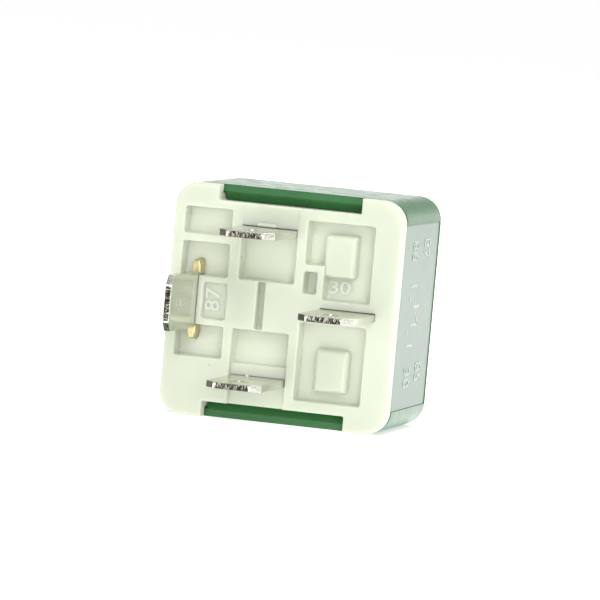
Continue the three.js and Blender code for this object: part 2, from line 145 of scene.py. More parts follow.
def ring(outline, inset, steps):
    """A counter-clockwise outline of (u, v, corner radius) moved inwards and rounded."""
    result = []
    for i, (u, v, radius) in enumerate(outline):
        here = Vector((u, v))
        ahead = outline[(i + 1) % len(outline)]
        along_in = (here - Vector(outline[i - 1][:2])).normalized()
        along_out = (Vector(ahead[:2]) - here).normalized()
        inward_in = Vector((-along_in.y, along_in.x))
        inward_out = Vector((-along_out.y, along_out.x))
        shift = inset / (1 + inward_in.dot(inward_out))
        corner = here + (inward_in + inward_out) * shift
        if radius == 0:
            result.append(corner)
            continue
        side = 1 if along_in.cross(along_out) > 0 else -1
        round_by = max(radius - side * inset, 0.02)
        half = math.acos(max(-1.0, min(1.0, along_in.dot(along_out)))) / 2
        start = corner - along_in * (round_by * math.tan(half))
        centre = start + inward_in * (round_by * side)
        for k in range(steps + 1):
            turn = Matrix.Rotation(side * 2 * half * k / steps, 2)
            result.append(centre + turn @ (start - centre))
    return result


PLACE = {
    "X": lambda u, v, w: Vector((w, v, u)),
    "Y": lambda u, v, w: Vector((u, w, v)),
    "Z": lambda u, v, w: Vector((u, v, w)),
}


def placed(name, data):
    """A new object in the scene."""
    obj = bpy.data.objects.new(name, data)
    bpy.context.scene.collection.objects.link(obj)
    return obj


def new_object(name, bm):
    bmesh.ops.remove_doubles(bm, verts=bm.verts, dist=1e-7)
    bmesh.ops.recalc_face_normals(bm, faces=bm.faces)
    mesh = bpy.data.meshes.new(name)
    bm.to_mesh(mesh)
    bm.free()
    return placed(name, mesh)


def evaluated_mesh(obj):
    """The mesh that an object's modifiers or its curve make."""
    bpy.context.view_layer.update()
    graph = bpy.context.evaluated_depsgraph_get()
    return bpy.data.meshes.new_from_object(obj.evaluated_get(graph))


def prism(name, outline, levels, axis="Y", steps=5):
    """A solid whose outline is drawn at each (place along the axis, inset) level."""
    bm = bmesh.new()
    rings = []
    for place, inset in levels:
        points = ring(outline, inset, steps)
        rings.append([bm.verts.new(PLACE[axis](p.x, p.y, place) * MM) for p in points])
    for low, high in zip(rings, rings[1:]):
        for i in range(len(low)):
            j = (i + 1) % len(low)
            bm.faces.new((low[i], low[j], high[j], high[i]))
    bm.faces.new(rings[0])
    bm.faces.new(rings[-1])
    return new_object(name, bm)


def rounded_ends(start, end, radius, steps=3, end_radius=None):
    """Levels from start to end, with a round edge at each end."""
    last = radius if end_radius is None else end_radius
    quarter = [math.pi / 2 * k / steps for k in range(steps + 1)]
    first = [(start + radius * (1 - math.cos(a)), radius * (1 - math.sin(a))) for a in quarter]
    final = [(end - last * (1 - math.cos(a)), last * (1 - math.sin(a))) for a in quarter]
    return first + final[::-1]


def pocket_levels(depth, rim=RIM):
    """Levels of a cutter that leaves a round rim at 0 and a small fillet on its floor."""
    fillet, steps = 0.15, 3
    quarter = [math.pi / 2 * k / steps for k in range(steps + 1)]
    mouth = [(rim * (1 - math.cos(a)), -rim * (1 - math.sin(a))) for a in quarter]
    floor = [(depth - fillet * (1 - math.sin(a)), fillet * (1 - math.cos(a))) for a in quarter]
    return [(-OVERSHOOT, -rim)] + mouth + floor


def rectangle(u0, u1, v0, v1, radius=0.0):
    return [(u0, v0, radius), (u1, v0, radius), (u1, v1, radius), (u0, v1, radius)]


def circle(u, v, radius, count=32):
    spokes = [2 * math.pi * k / count for k in range(count)]
    return [(u + radius * math.cos(a), v + radius * math.sin(a), 0) for a in spokes]


def turned(name, profile, u, v, axis="Y", count=40):
    """A solid turned about a line along the axis; profile is (radius, place, corner radius)."""
    bm = bmesh.new()
    rows = []
    for point in ring(profile, 0, 4):
        if point.x < 1e-6:
            rows.append([bm.verts.new(PLACE[axis](u, v, point.y) * MM)])
            continue
        row = []
        for k in range(count):
            angle = 2 * math.pi * k / count
            across = u + point.x * math.cos(angle)
            up = v + point.x * math.sin(angle)
            row.append(bm.verts.new(PLACE[axis](across, up, point.y) * MM))
        rows.append(row)
    for low, high in zip(rows, rows[1:] + rows[:1]):
        if len(low) == 1 and len(high) == 1:
            continue
        for k in range(count):
            j = (k + 1) % count
            corners = [low[k % len(low)], low[j % len(low)], high[j % len(high)], high[k % len(high)]]
            bm.faces.new(list(dict.fromkeys(corners)))
    return new_object(name, bm)


def apply_modifiers(obj):
    mesh = evaluated_mesh(obj)
    obj.modifiers.clear()
    old = obj.data
    obj.data = mesh
    bpy.data.meshes.remove(old)


def combine(body, tools, operation):
    """Cuts the tools from the body, or joins them to it, and removes them."""
    for tool in tools:
        modifier = body.modifiers.new(operation, "BOOLEAN")
        modifier.operation = operation
        modifier.solver = "EXACT"
        modifier.object = tool
    apply_modifiers(body)
    for tool in tools:
        bpy.data.objects.remove(tool)
    return body


def cut(body, *tools):
    return combine(body, tools, "DIFFERENCE")


def join(body, *tools):
    return combine(body, tools, "UNION")


def text_solid(name, words, size, place, right, up, thickness, stretch=1.0, weight=0.02):
    """Raised figures centred on a place, reading along right with their tops along up."""
    curve = bpy.data.curves.new(name, "FONT")
    curve.body = words
    curve.size = size * MM
    curve.offset = weight * MM
    curve.bevel_depth = 0.02 * MM
    curve.align_x = "CENTER"
    curve.align_y = "CENTER"
    curve.extrude = thickness / 2 * MM
    curve.resolution_u = 4
    writing = placed(name, curve)
    mesh = evaluated_mesh(writing)
    bpy.data.objects.remove(writing)
    right, up = Vector(right), Vector(up)
    turn = Matrix((right, up, right.cross(up))).transposed().to_4x4()
    widen = Matrix.Scale(stretch, 4, (1, 0, 0))
    mesh.transform(Matrix.Translation(Vector(place) * MM) @ turn @ widen)
    return placed(name, mesh)


def wire(name, points, radius):
    """A round wire along a smooth line by the points."""
    curve = bpy.data.curves.new(name, "CURVE")
    curve.dimensions = "3D"
    curve.bevel_depth = radius * MM
    curve.bevel_resolution = 3
    curve.use_fill_caps = True
    spline = curve.splines.new("NURBS")
    spline.points.add(len(points) - 1)
    for point, place in zip(spline.points, points):
        point.co = (*(Vector(place) * MM), 1)
    spline.use_endpoint_u = True
    spline.order_u = 3
    spline.resolution_u = 3
    line = placed(name, curve)
    mesh = evaluated_mesh(line)
    bpy.data.objects.remove(line)
    return placed(name, mesh)


def merged(name, objects):
    """Several solids as one object."""
    bm = bmesh.new()
    for obj in objects:
        bm.from_mesh(obj.data)
        bpy.data.objects.remove(obj)
    mesh = bpy.data.meshes.new(name)
    bm.to_mesh(mesh)
    bm.free()
    return placed(name, mesh)


def dress(obj, materials, body="relay", replaces=()):
    """Gives a piece its materials and shading and puts it on its body."""
    obj.data.materials.clear()
    for material in materials if isinstance(materials, (list, tuple)) else [materials]:
        obj.data.materials.append(material)
    obj.data.shade_smooth()
    obj.data.set_sharp_from_angle(angle=SMOOTH_ANGLE)
    weighted = obj.modifiers.new("normals", "WEIGHTED_NORMAL")
    weighted.keep_sharp = True
    if body:
        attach(obj, body)
    if replaces:
        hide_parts(*replaces)
    return obj


# Material tools

class Finish:
    """A Principled material in object coordinates, with helpers for its texture nodes."""

    def __init__(self, name, color, roughness, metallic=0.0, coat=0.0, coat_roughness=0.1):
        self.material = bpy.data.materials.new(name)
        self.material.use_nodes = True
        self.tree = self.material.node_tree
        self.shader = self.tree.nodes["Principled BSDF"]
        self.shader.inputs["Base Color"].default_value = (*color, 1)
        self.shader.inputs["Roughness"].default_value = roughness
        self.shader.inputs["Metallic"].default_value = metallic
        self.shader.inputs["Coat Weight"].default_value = coat
        self.shader.inputs["Coat Roughness"].default_value = coat_roughness
        self.place = self.tree.nodes.new("ShaderNodeTexCoord").outputs["Object"]
        self.bumped = None

    def link(self, output, socket):
        self.tree.links.new(output, socket)

    def stretched(self, x, y, z):
        mapping = self.tree.nodes.new("ShaderNodeMapping")
        mapping.inputs["Scale"].default_value = (x, y, z)
        self.link(self.place, mapping.inputs["Vector"])
        return mapping.outputs["Vector"]

    def noise(self, size, detail=3.0, vector=None, roughness=0.55):
        """Noise whose features are about size millimetres across."""
        node = self.tree.nodes.new("ShaderNodeTexNoise")
        node.inputs["Scale"].default_value = 1 / (size * MM)
        node.inputs["Detail"].default_value = detail
        node.inputs["Roughness"].default_value = roughness
        self.link(vector or self.place, node.inputs["Vector"])
        return node.outputs["Fac"]

    def ramp(self, value, stops):
        node = self.tree.nodes.new("ShaderNodeValToRGB")
        elements = node.color_ramp.elements
        for place, _ in stops[2:]:
            elements.new(place)
        for element, (place, shade) in zip(elements, sorted(stops, key=lambda s: s[0])):
            element.position = place
            element.color = (*shade, 1) if isinstance(shade, tuple) else (shade, shade, shade, 1)
        self.link(value, node.inputs["Fac"])
        return node.outputs["Color"]

    def spread(self, value, low, high, start=0.3, end=0.7):
        node = self.tree.nodes.new("ShaderNodeMapRange")
        node.inputs["From Min"].default_value = start
        node.inputs["From Max"].default_value = end
        node.inputs["To Min"].default_value = low
        node.inputs["To Max"].default_value = high
        self.link(value, node.inputs["Value"])
        return node.outputs["Result"]

    def mix(self, factor, first, second):
        node = self.tree.nodes.new("ShaderNodeMix")
        node.data_type = "RGBA"
        for value, socket in ((factor, 0), (first, 6), (second, 7)):
            if isinstance(value, bpy.types.NodeSocket):
                self.link(value, node.inputs[socket])
            elif socket == 0:
                node.inputs[0].default_value = value
            else:
                node.inputs[socket].default_value = (*value, 1)
        return node.outputs[2]

    def color(self, output):
        self.link(output, self.shader.inputs["Base Color"])

    def rough(self, output):
        self.link(output, self.shader.inputs["Roughness"])

    def bump(self, height, depth, strength=1.0):
        """Adds relief of about depth millimetres; calls stack."""
        node = self.tree.nodes.new("ShaderNodeBump")
        node.inputs["Strength"].default_value = strength
        node.inputs["Distance"].default_value = depth * MM
        self.link(height, node.inputs["Height"])
        if self.bumped:
            self.link(self.bumped, node.inputs["Normal"])
        self.bumped = node.outputs["Normal"]
        self.link(self.bumped, self.shader.inputs["Normal"])


def base_plastic(name, shade, translucence):
    """A milky moulding; painted light makes its colour paler the deeper a surface lies in its pockets,
    against the shade there.
    """
    def tone(*color):
        return tuple(shade * c for c in color)

    finish = Finish(name, tone(0.61, 0.66, 0.52), 0.42)
    cloud = finish.noise(6, 4)
    face = finish.ramp(cloud, [(0.3, tone(0.57, 0.61, 0.50)), (0.7, tone(0.60, 0.64, 0.53))])
    # Painted light: a paler tone for pocket walls and floors, blended in by depth below the face.
    floor = finish.ramp(cloud, [(0.3, tone(0.69, 0.73, 0.615)), (0.7, tone(0.72, 0.76, 0.645))])
    split = finish.tree.nodes.new("ShaderNodeSeparateXYZ")
    finish.link(finish.place, split.inputs[0])
    depth = finish.spread(split.outputs["Y"], 0, 1, 0.15 * MM, 2.2 * MM)
    painted_light_tone = finish.mix(depth, face, floor)
    speck = finish.ramp(finish.noise(0.35, 2), [(0.70, 0.0), (0.78, 1.0)])
    finish.color(finish.mix(finish.spread(speck, 0, 0.12, 0, 1), painted_light_tone, (0.55, 0.56, 0.42)))
    finish.rough(finish.spread(finish.noise(1.5, 5), 0.34, 0.5))
    finish.bump(finish.noise(0.09, 3), 0.004, 0.5)
    finish.bump(finish.noise(2.5, 2), 0.02, 0.25)
    finish.shader.inputs["Subsurface Weight"].default_value = translucence
    finish.shader.inputs["Subsurface Radius"].default_value = (0.0016, 0.0016, 0.0012)
    finish.shader.inputs["Subsurface Scale"].default_value = 1.0
    return finish.material


def cover_plastic(name, dark, light, smooth, rough, grain, coat=0.0):
    finish = Finish(name, light, rough, coat=coat, coat_roughness=0.16)
    finish.color(finish.ramp(finish.noise(5, 4), [(0.3, dark), (0.7, light)]))
    finish.rough(finish.spread(finish.noise(1.6, 5), smooth, rough))
    finish.bump(finish.noise(0.12, 3), grain, 0.4)
    finish.bump(finish.noise(5, 2), grain * 2, 0.3)
    return finish.material


def tin_plate():
    finish = Finish("tin_plate", (0.68, 0.67, 0.62), 0.3, metallic=1.0)
    finish.shader.inputs["Specular Tint"].default_value = (0.92, 0.93, 0.88, 1)
    along = finish.stretched(1, 0.08, 1)
    streak = finish.noise(0.2, 4, along)
    tone = finish.ramp(finish.noise(2.2, 4), [(0.3, (0.67, 0.68, 0.62)), (0.7, (0.79, 0.79, 0.75))])
    finish.color(finish.mix(finish.spread(streak, 0, 0.2), tone, (0.52, 0.52, 0.46)))
    finish.rough(finish.spread(streak, 0.15, 0.26))
    finish.bump(streak, 0.002, 0.3)
    finish.bump(finish.noise(1.6, 3), 0.008, 0.3)
    return finish.material


def sheared_metal(name, stretch):
    """The torn band of a sheared end: dark, with bright lines along the punch's travel."""
    finish = Finish(name, (0.2, 0.19, 0.15), 0.35, metallic=1.0)
    tear = finish.noise(0.11, 2, finish.stretched(*stretch), 0.7)
    finish.color(finish.ramp(tear, [(0.50, (0.03, 0.028, 0.02)), (0.62, (0.55, 0.53, 0.45))]))
    finish.rough(finish.spread(tear, 0.5, 0.25))
    finish.bump(tear, 0.05, 0.8)
    return finish.material


def cut_metal():
    """The bright, coarse chamfers that a punch leaves at a blade's tip."""
    finish = Finish("cut_metal", (0.8, 0.78, 0.7), 0.42, metallic=1.0)
    grain = finish.noise(0.16, 4)
    finish.color(finish.ramp(grain, [(0.38, (0.40, 0.40, 0.34)), (0.6, (0.76, 0.77, 0.69))]))
    finish.rough(finish.spread(grain, 0.36, 0.5))
    finish.bump(grain, 0.01, 0.7)
    return finish.material


# Painted shade: a dark copy of the tip's cut metal, for the chamfers that face away from the light.
def painted_chamfer_shade():
    finish = Finish("painted_chamfer_shade", (0.1, 0.095, 0.075), 0.4, metallic=1.0)
    patch = finish.noise(0.3, 4)
    finish.color(finish.ramp(patch, [(0.35, (0.04, 0.038, 0.028)), (0.75, (0.2, 0.19, 0.15))]))
    finish.rough(finish.spread(patch, 0.3, 0.55))
    finish.bump(finish.noise(0.12, 3), 0.01, 0.6)
    return finish.material


def brass(name, color):
    finish = Finish(name, color, 0.32, metallic=1.0)
    dark = tuple(c * 0.7 for c in color)
    streak = finish.noise(0.25, 4, finish.stretched(0.1, 1, 1))
    finish.color(finish.mix(finish.spread(finish.noise(1.0, 5), 0, 0.6), color, dark))
    finish.rough(finish.spread(streak, 0.24, 0.45))
    finish.bump(streak, 0.004, 0.5)
    return finish.material


def zinc_steel():
    finish = Finish("zinc_steel", (0.55, 0.56, 0.57), 0.35, metallic=1.0)
    patch = finish.noise(0.8, 5)
    finish.color(finish.ramp(patch, [(0.3, (0.44, 0.45, 0.45)), (0.7, (0.64, 0.65, 0.66))]))
    finish.rough(finish.spread(patch, 0.28, 0.5))
    finish.bump(finish.noise(0.15, 4), 0.006, 0.6)
    return finish.material


def silver():
    finish = Finish("contact_silver", (0.85, 0.84, 0.8), 0.22, metallic=1.0)
    finish.rough(finish.spread(finish.noise(0.3, 4), 0.16, 0.38))
    finish.bump(finish.noise(0.2, 3), 0.004, 0.6)
    return finish.material


def natural_nylon():
    finish = Finish("natural_nylon", (0.72, 0.66, 0.5), 0.5)
    finish.color(finish.ramp(finish.noise(3, 4), [(0.3, (0.66, 0.6, 0.44)), (0.7, (0.76, 0.7, 0.55))]))
    finish.rough(finish.spread(finish.noise(1, 4), 0.42, 0.6))
    finish.bump(finish.noise(0.12, 3), 0.006, 0.5)
    finish.shader.inputs["Subsurface Weight"].default_value = 0.15
    finish.shader.inputs["Subsurface Radius"].default_value = (0.0006, 0.0005, 0.0003)
    return finish.material


def enamelled_copper():
    finish = Finish("enamelled_copper", (0.62, 0.24, 0.08), 0.28, metallic=1.0, coat=0.4)
    finish.color(finish.ramp(finish.noise(0.7, 4), [(0.3, (0.5, 0.17, 0.05)), (0.7, (0.72, 0.3, 0.12))]))
    finish.rough(finish.spread(finish.noise(0.4, 4), 0.2, 0.4))
    finish.bump(finish.noise(0.1, 2), 0.003, 0.5)
    return finish.material


def polyester_tape():
    finish = Finish("polyester_tape", (0.6, 0.36, 0.06), 0.25, coat=0.3)
    finish.color(finish.ramp(finish.noise(2.0, 4), [(0.3, (0.5, 0.28, 0.04)), (0.7, (0.68, 0.42, 0.09))]))
    finish.rough(finish.spread(finish.noise(0.8, 5), 0.18, 0.36))
    finish.bump(finish.noise(0.35, 3, finish.stretched(1, 0.3, 1)), 0.02, 0.5)
    return finish.material


def resin():
    finish = Finish("sealing_resin", (0.86, 0.88, 0.8), 0.12)
    finish.color(finish.ramp(finish.noise(0.8, 3), [(0.3, (0.8, 0.84, 0.72)), (0.7, (0.9, 0.92, 0.86))]))
    finish.rough(finish.spread(finish.noise(0.5, 3), 0.08, 0.2))
    finish.bump(finish.noise(0.5, 2), 0.01, 0.4)
    finish.shader.inputs["Subsurface Weight"].default_value = 0.3
    finish.shader.inputs["Subsurface Radius"].default_value = (0.0005, 0.0005, 0.0004)
    return finish.material


def burnt_fleck():
    """A speck of overheated plastic in the moulding."""
    finish = Finish("burnt_fleck", (0.2, 0.15, 0.07), 0.5)
    finish.color(finish.ramp(finish.noise(0.1, 3), [(0.3, (0.12, 0.09, 0.04)), (0.7, (0.32, 0.26, 0.14))]))
    finish.rough(finish.spread(finish.noise(0.1, 3), 0.4, 0.6))
    finish.bump(finish.noise(0.05, 2), 0.004, 0.5)
    return finish.material


def print_ink():
    finish = Finish("print_ink", (0.62, 0.72, 0.64), 0.4, coat=0.45, coat_roughness=0.16)
    worn = finish.noise(0.22, 5)
    finish.color(finish.ramp(worn, [(0.44, (0.035, 0.13, 0.05)), (0.62, (0.54, 0.60, 0.55))]))
    finish.rough(finish.spread(worn, 0.32, 0.42))
    finish.bump(worn, 0.0005, 0.4)
    return finish.material


BASE_PLASTIC = base_plastic("base_plastic", 1.0, 0.8)
# The numerals are the base's own plastic, painted 6% lighter as a painted highlight, and made less
# translucent.
NUMERAL_PLASTIC_LIGHTENED = base_plastic("numeral_plastic_painted_highlight", 1.06, 0.1)
COVER_GLOSS = cover_plastic("cover_gloss", (0.018, 0.12, 0.027), (0.028, 0.15, 0.038), 0.16, 0.26, 0.002)
COVER_PANEL = cover_plastic("cover_panel", (0.027, 0.105, 0.042), (0.033, 0.115, 0.048), 0.31, 0.33, 0.0003,
                            coat=0.38)
TIN = tin_plate()
SHEARED_FLAT = sheared_metal("sheared_flat", (1, 1, 0.25))
SHEARED_EDGE = sheared_metal("sheared_edge", (0.25, 1, 1))
CUT = cut_metal()
CHAMFER_SHADE = painted_chamfer_shade()
BRASS = brass("terminal_brass", (0.68, 0.60, 0.31))
BRONZE = brass("spring_bronze", (0.78, 0.55, 0.3))
STEEL = zinc_steel()
SILVER = silver()
NYLON = natural_nylon()
COPPER = enamelled_copper()
TAPE = polyester_tape()
RESIN = resin()
FLECK = burnt_fleck()
INK = print_ink()


# Base

def body_outline(grow=0.0):
    w, h = HALF_WIDTH + grow, HALF_HEIGHT + grow
    return rectangle(-w, w, -h, h, CORNER + grow)


def pocket(x0, x1, z0, z1, depth=POCKET_DEPTH, corner=0.25, rim=RIM):
    return prism("pocket", rectangle(x0, x1, z0, z1, corner), pocket_levels(depth, rim))


def island(x0, x1, top, z0, z1):
    """A block left standing in a pocket, with a broad round edge at its top."""
    edge, sunk = 0.5, 0.4
    levels = rounded_ends(top, POCKET_DEPTH + sunk, edge, 5, 0.01)
    return prism("island", rectangle(x0, x1, z0, z1, 0.3), levels)


def through_slot(x0, x1, z0, z1, corner=0.05, start=-OVERSHOOT):
    levels = [(start, 0.0), (BASE_HIGH.y + OVERSHOOT, 0.0)]
    return prism("slot", rectangle(x0, x1, z0, z1, corner), levels)


def edge_notch(side):
    z0, z1 = HALF_HEIGHT - NOTCH_DEPTH, HALF_HEIGHT + 2
    low, high = (z0, z1) if side > 0 else (-z1, -z0)
    outline = rectangle(-NOTCH_HALF_WIDTH, NOTCH_HALF_WIDTH, low, high, 0.2)
    return prism("notch", outline, pocket_levels(BASE_HIGH.y + OVERSHOOT))


def base_slots():
    """The blades' slots; blade 87 also has a wider one for its shoulders, under the pockets' floor."""
    slots = []
    for name, above in SLOT_GAP_ABOVE.items():
        low, high = box_mm(name)
        slots.append(through_slot(low.x - SLOT_GAP, high.x + SLOT_GAP, low.z - SLOT_GAP, high.z + above))
    x, half = BLADE_87_X, BLADE_HALF_WIDTH + 0.05
    slots.append(through_slot(x - 0.44, x + 0.45, -half, half))
    slots.append(through_slot(x - 0.4, x + 0.4, -4.55, 4.55, 0.3, POCKET_DEPTH - 0.2))
    return slots


def base_moulding():
    outline = body_outline(-FLANGE_INSET)
    flange = prism("base_moulding", outline, rounded_ends(0.0, FLANGE_HEIGHT, 0.3, 4, 0.12), steps=12)
    plug_outline = body_outline(-COVER_WALL - PLUG_GAP)
    join(flange, prism("plug", plug_outline, rounded_ends(1.0, BASE_HIGH.y, 0.2), steps=8))
    pockets = [
        # The left column, beside and round blade 87
        pocket(-11.9, -6.5, 7.4, 10.35),
        pocket(-11.9, -6.5, 2.75, 6.45),
        pocket(-11.9, -6.45, -6.35, -2.8),
        pocket(-9.1, -6.45, -2.0, 2.0, RECESS_87_DEPTH, 0.3, 0.3),
        # The middle: by blades 86 and 85, the groove between them, and the flat over 86
        pocket(-5.2, 1.15, 2.8, 7.95),
        pocket(-5.35, 1.1, -6.7, -2.85),
        pocket(-2.9, -2.05, -2.65, 2.65, 1.5, 0.12),
        pocket(-5.2, 1.2, 8.85, 12.5, 0.06, 0.1, 0.03),
        # The right-hand side: over blade 30, the small hole beside its number, and under it
        pocket(2.3, 9.95, 5.2, 10.05),
        pocket(2.3, 3.8, 1.95, 4.35, HOLE_DEPTH),
        pocket(2.3, 9.9, -10.05, -1.3),
    ]
    cut(flange, *pockets)
    cut(flange, pocket(4.6, 9.95, 1.4, 6.0), pocket(-5.35, 1.15, -12.5, -5.8, CHANNEL_DEPTH))
    upper = island(4.3, 7.95, UPPER_ISLAND_TOP, 3.95, 8.7)
    lower = island(4.25, 8.0, LOWER_ISLAND_TOP, -8.95, -4.15)
    join(flange, upper, lower, nib_above_86())
    cut(flange, edge_notch(1), edge_notch(-1), *base_slots())
    return flange


def nib_above_86():
    """The small nib that stands out over the middle of blade 86."""
    blade_top = box_mm("terminal_86")[1].z
    outline = rectangle(-3.5, -1.25, blade_top + 0.01, blade_top + 0.5, 0.2)
    return prism("nib", outline, rounded_ends(-0.5, 0.6, 0.18), steps=4)


def base_numerals():
    """Terminal numbers raised on a pocket's floor and on that of the recess by blade 87."""
    thickness = 0.24
    place_30 = (6.0, POCKET_DEPTH, 2.75)
    place_87 = (-8.0, RECESS_87_DEPTH, 0.1)
    upright = text_solid("numeral_30", "30", 2.05, place_30, (1, 0, 0), (0, 0, 1), thickness, 1.3)
    turned_left = text_solid("numeral_87", "87", 2.4, place_87, (0, 0, 1), (-1, 0, 0), thickness, 1.1)
    return upright, turned_left


def build_base():
    moulding = base_moulding()
    dress(moulding, BASE_PLASTIC, replaces=["base"])
    for numeral in base_numerals():
        dress(numeral, NUMERAL_PLASTIC_LIGHTENED)


# Cover

def label_cutter():
    outline = rectangle(-LABEL_HALF_HEIGHT, LABEL_HALF_HEIGHT, -1.0, LABEL_END, 0.35)
    edge = 0.05
    levels = [(LABEL_FACE, edge), (LABEL_FACE + edge, 0), (HALF_WIDTH - edge, 0), (HALF_WIDTH, -edge),
              (HALF_WIDTH + OVERSHOOT, -edge)]
    return prism("label_cutter", outline, levels, axis="X")


def latch(side):
    """The wedge inside the cover that shows in the flange's notch."""
    root, tip = HALF_HEIGHT - COVER_WALL, HALF_HEIGHT - NOTCH_DEPTH + 0.05
    start, end = COVER_START + 0.12, 4.2
    wedge = [(root + 0.2, start, 0), (root - 0.05, start, 0.15), (tip, start + 0.75, 0.2), (tip, end, 0.1),
             (root + 0.2, end, 0)]
    outline = [(side * z, y, radius) for z, y, radius in wedge]
    levels = rounded_ends(LATCH_LEFT, LATCH_RIGHT, 0.1)
    return prism("latch", outline if side < 0 else outline[::-1], levels, axis="X")


def build_cover():
    shell = prism("cover_shell", body_outline(), rounded_ends(COVER_START, BACK, 0.12, 5, 0.9), steps=12)
    mouth, floor = 0.1, BACK - 1.1
    levels = [(COVER_START - 0.5, -mouth), (COVER_START, -mouth), (COVER_START + mouth, 0), (BACK - 1.4, 0),
              (floor, 0.3)]
    hollow = prism("hollow", body_outline(-COVER_WALL), levels, steps=8)
    cut(shell, hollow, label_cutter())
    join(shell, latch(1), latch(-1))
    dress(shell, [COVER_GLOSS, COVER_PANEL], "cover_shell", ["cover"])
    for face in shell.data.polygons:
        on_panel = face.normal.x > 0.99 and abs(face.center.x - LABEL_FACE * MM) < 0.02 * MM
        beside_panel = abs(face.center.z) < LABEL_HALF_HEIGHT * MM and face.center.y > LABEL_END * MM
        past_panel = face.normal.x > 0.2 and beside_panel
        face.material_index = 1 if on_panel or past_panel else 0


# Printing on the cover's recessed panel: terminal numbers and the contact's symbol

INK_THICKNESS = 0.02
INK_SUNK = 0.01
INK_LEVELS = [(LABEL_FACE - INK_SUNK, 0), (LABEL_FACE + INK_THICKNESS, 0)]


def stroke(y0, z0, y1, z1):
    """A printed line from one (y, z) to another, lying on the panel."""
    width = 0.28
    start, end = Vector((z0, y0)), Vector((z1, y1))
    along = (end - start).normalized()
    side = Vector((-along.y, along.x)) * width / 2
    corners = [start - side, end - side, end + side, start + side]
    return prism("stroke", [(c.x, c.y, 0) for c in corners], INK_LEVELS, axis="X")


def printed_figures(words, y, z):
    place = (LABEL_FACE + (INK_THICKNESS - INK_SUNK) / 2, y, z)
    thickness = INK_THICKNESS + INK_SUNK
    return text_solid("figures", words, 4.0, place, (0, 0, -1), (0, 1, 0), thickness, 0.62, -0.01)


def printed_dot(y, z):
    return prism("dot", circle(z, y, 0.3, 16), INK_LEVELS, axis="X")


def build_print():
    marks = [
        printed_figures("86", 7.3, 7.5),
        printed_figures("87", 12.8, 7.6),
        printed_figures("30", 8.0, -6.9),
        printed_figures("85", 13.4, -6.5),
        stroke(6.9, 3.45, 9.6, 3.45),
        stroke(8.4, 1.1, 11.4, 1.1),
        stroke(9.0, 1.0, 11.3, -0.95),
        stroke(7.9, -0.95, 11.3, -0.95),
        stroke(6.8, -3.25, 9.6, -3.25),
        printed_dot(6.6, 2.0),
        printed_dot(6.6, -1.75),
    ]
    dress(merged("panel_print", marks), INK, "cover_shell")


# Blades

def taper_tip(obj, axis, middle, tip):
    """Thins a blade towards its tip."""
    bm = bmesh.new()
    bm.from_mesh(obj.data)
    plane = Vector((0, tip + TAPER_LENGTH, 0)) * MM
    geometry = bm.verts[:] + bm.edges[:] + bm.faces[:]
    bmesh.ops.bisect_plane(bm, geom=geometry, plane_co=plane, plane_no=(0, 1, 0))
    for vertex in bm.verts:
        into = 1 - (vertex.co.y / MM - tip) / TAPER_LENGTH
        if into > 0:
            offset = vertex.co[axis] - middle * MM
            vertex.co[axis] = middle * MM + offset * (1 - into * (1 - TAPER_SHARE))
    bm.to_mesh(obj.data)
    bm.free()


def dimple(axis, across, along, face, outwards):
    """The cutter for the round dent that a socket's spring clicks into."""
    radius, depth, wall, steps = 0.9, 0.17, 0.05, 8
    sag = depth - wall
    bend = (radius ** 2 + sag ** 2) / (2 * sag)
    reach = math.asin(radius / bend)
    arc = [(bend * math.sin(reach * k / steps), depth - bend * (1 - math.cos(reach * k / steps)))
           for k in range(steps + 1)]
    profile = [(r, face - outwards * d, 0) for r, d in arc]
    profile += [(radius, face + outwards * 0.06, 0), (0, face + outwards * 0.4, 0)]
    return turned("dimple", profile, across, along, axis, 36)


def roughen_end(obj, axis, middle, across, tip):
    """Tears a band of a blade's end face, as a shear does."""
    width_axis = 0 if axis == 2 else 2
    reach = BLADE_HALF_WIDTH - BLADE_CHAMFER
    bm = bmesh.new()
    bm.from_mesh(obj.data)
    direction = Vector((0, 0, 0))
    direction[width_axis] = 1
    cuts, tear, whole = 38, 0.05, 0.3
    end_limit = (tip + 0.06) * MM
    for k in range(1, cuts):
        place = across - reach + 2 * reach * k / cuts
        faces = [f for f in bm.faces if f.normal.y < -0.9 and f.calc_center_median().y < end_limit]
        edges = {e for f in faces for e in f.edges}
        corners = {v for f in faces for v in f.verts}
        geometry = faces + list(edges) + list(corners)
        bmesh.ops.bisect_plane(bm, geom=geometry, plane_co=direction * place * MM, plane_no=direction)
    for vertex in bm.verts:
        p = vertex.co / MM
        in_band = TORN_BAND[0] - 0.01 < p[axis] - middle < TORN_BAND[-1] + 0.01
        if p.y < tip + 0.01 and in_band and abs(p[width_axis] - across) < reach - whole:
            seed = Vector((p[width_axis] * 7, p[axis] * 9, middle * 3))
            vertex.co.y += (tear + tear * noise.noise(seed)) * MM
    bm.to_mesh(obj.data)
    bm.free()


def blade(name, middle, axis, across):
    """The part of a blade outside the base; middle is on the axis of its thickness."""
    half, thick, chamfer = BLADE_HALF_WIDTH, BLADE_HALF_THICKNESS, BLADE_CHAMFER
    tip = CAD_BOX[0][1] / MM
    end = 1.2
    outline = [
        (across - half, end, 0), (across - half, tip + chamfer, 0.15), (across - half + chamfer, tip, 0.1),
        (across + half - chamfer, tip, 0.1), (across + half, tip + chamfer, 0.15), (across + half, end, 0),
    ]
    ends = rounded_ends(middle - thick, middle + thick, 0.08)
    band = [(middle + t, 0) for t in TORN_BAND]
    levels = ends[:len(ends) // 2] + band + ends[len(ends) // 2:]
    line = "Z" if axis == 2 else "X"
    piece = prism(name, outline, levels, axis=line, steps=3)
    taper_tip(piece, axis, middle, tip)
    roughen_end(piece, axis, middle, across, tip)
    along = tip + DIMPLE_FROM_TIP
    upper = dimple(line, across, along, middle + thick, 1)
    lower = dimple(line, across, along, middle - thick, -1)
    return cut(piece, upper, lower)


# Places in a blade's list of materials; 0 is the plate.
TORN, BARE, SHADED_CHAMFER, CHAMFERED = 1, 2, 3, 4


